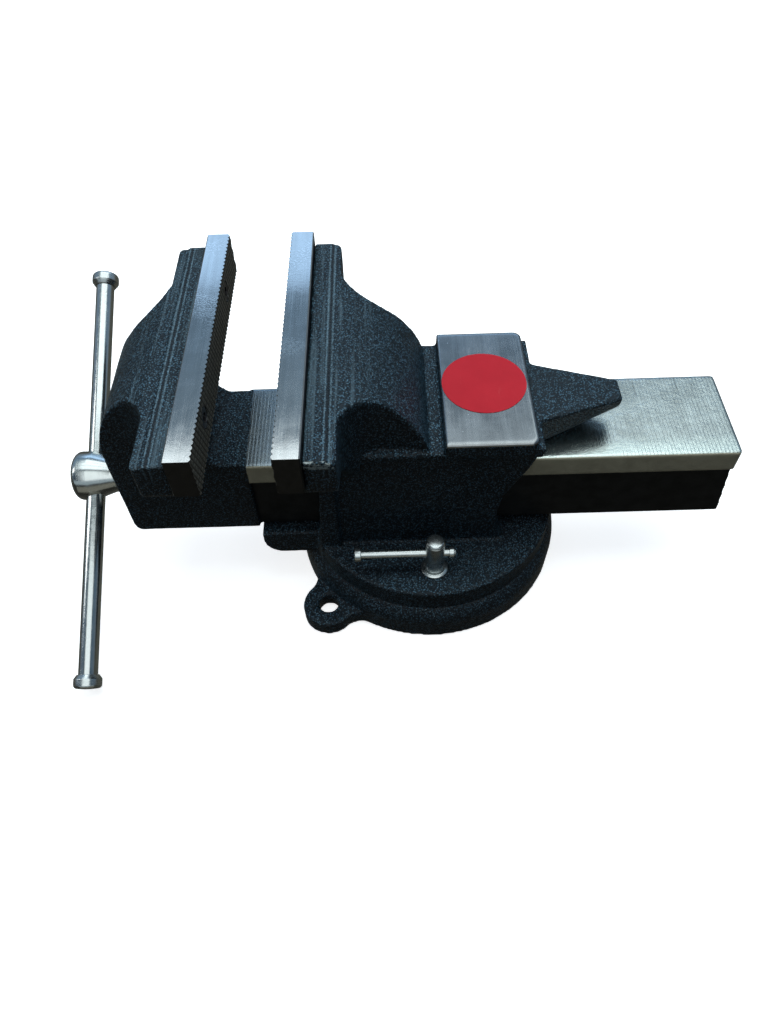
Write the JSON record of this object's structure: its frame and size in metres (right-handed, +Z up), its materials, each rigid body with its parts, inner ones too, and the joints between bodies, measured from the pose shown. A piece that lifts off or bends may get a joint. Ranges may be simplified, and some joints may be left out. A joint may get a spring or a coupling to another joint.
{
  "type": "bench vise",
  "caption": "Engineer's bench vise on a swivel base: serrated jaws, T-section slide, anvil with a flat-topped horn, and a sliding handle through the plated screw head.",
  "frame": {"origin": "on the swivel axis at the underside of the swivel base, where it sits on the bench", "axes": "+Z up along the swivel axis, +X along the slide and the lead screw away from the handle, +Y along the jaws"},
  "size_m": [0.4561, 0.2812, 0.201],
  "materials": {
    "casting_paint": "dark blue-grey hammered paint over rough iron casting, with bare machined tops",
    "ground_steel": "ground steel with a crossed serration on the working face",
    "plated_steel": "bright nickel plate with fine turning marks",
    "bare_steel": "turned bare steel",
    "black_steel": "black oxide",
    "raw_iron": "raw machined iron",
    "label_vinyl": "plain red vinyl"
  },
  "bodies": {
    "base": {"swivel_base": "casting_paint"},
    "fixed": {"fixed_jaw_body": "casting_paint", "fixed_jaw_plate": "ground_steel", "fixed_plate_screw_near": "black_steel", "fixed_plate_screw_far": "black_steel", "lead_nut": "raw_iron", "lead_nut_bolt_front": "black_steel", "lead_nut_bolt_rear": "black_steel", "anvil_label": "label_vinyl", "front_lock_bolt": "bare_steel", "front_lock_washer": "plated_steel", "rear_lock_bolt": "bare_steel", "rear_lock_washer": "plated_steel"},
    "movable": {"movable_jaw": "casting_paint", "movable_jaw_plate": "ground_steel", "movable_plate_screw_near": "black_steel", "movable_plate_screw_far": "black_steel", "thrust_washer": "bare_steel"},
    "screw": {"lead_screw": "plated_steel", "retaining_spring": "bare_steel", "retaining_collar": "bare_steel", "collar_pin": "bare_steel"},
    "handle": {"handle_bar": "plated_steel", "handle_cap_upper": "plated_steel", "handle_cap_lower": "plated_steel"},
    "front_lock": {"front_lock_nut": "plated_steel"},
    "front_lock_lever": {"front_lock_bar": "plated_steel", "front_lock_bar_cap_long": "plated_steel", "front_lock_bar_cap_short": "plated_steel"},
    "rear_lock": {"rear_lock_nut": "plated_steel"},
    "rear_lock_lever": {"rear_lock_bar": "plated_steel", "rear_lock_bar_cap_long": "plated_steel", "rear_lock_bar_cap_short": "plated_steel"}
  },
  "joints": [
    {"name": "swivel", "type": "hinge", "parent": "base", "child": "fixed", "pos_m": [0, 0, 0.03], "axis": [0, 0, 1], "continuous": true},
    {"name": "jaw_slide", "type": "slide", "parent": "fixed", "child": "movable", "axis": [-1, 0, 0], "range_m": [-0.0408, 0.16]},
    {"name": "screw_turn", "type": "hinge", "parent": "movable", "child": "screw", "pos_m": [0, 0, 0.075], "axis": [1, 0, 0], "range_deg": [-9590, 2440]},
    {"name": "handle_slide", "type": "slide", "parent": "screw", "child": "handle", "axis": [0, 0.8973, 0.4415], "range_m": [-0.128, 0.122]},
    {"name": "front_lock_turn", "type": "hinge", "parent": "fixed", "child": "front_lock", "pos_m": [0.0012, -0.06949, 0.0671], "axis": [0, 0, 1], "range_deg": [0, 180]},
    {"name": "front_lock_bar_slide", "type": "slide", "parent": "front_lock", "child": "front_lock_lever", "axis": [1, 0, 0], "range_m": [-0.002, 0.0425]},
    {"name": "rear_lock_turn", "type": "hinge", "parent": "fixed", "child": "rear_lock", "pos_m": [-0.0012, 0.06949, 0.0671], "axis": [0, 0, 1], "range_deg": [0, 180]},
    {"name": "rear_lock_bar_slide", "type": "slide", "parent": "rear_lock", "child": "rear_lock_lever", "axis": [-1, 0, 0], "range_m": [-0.002, 0.0425]}
  ],
  "couplings": [
    {"joint": "jaw_slide", "follows": "screw_turn", "m_per_rad": -0.00095493}
  ]
}
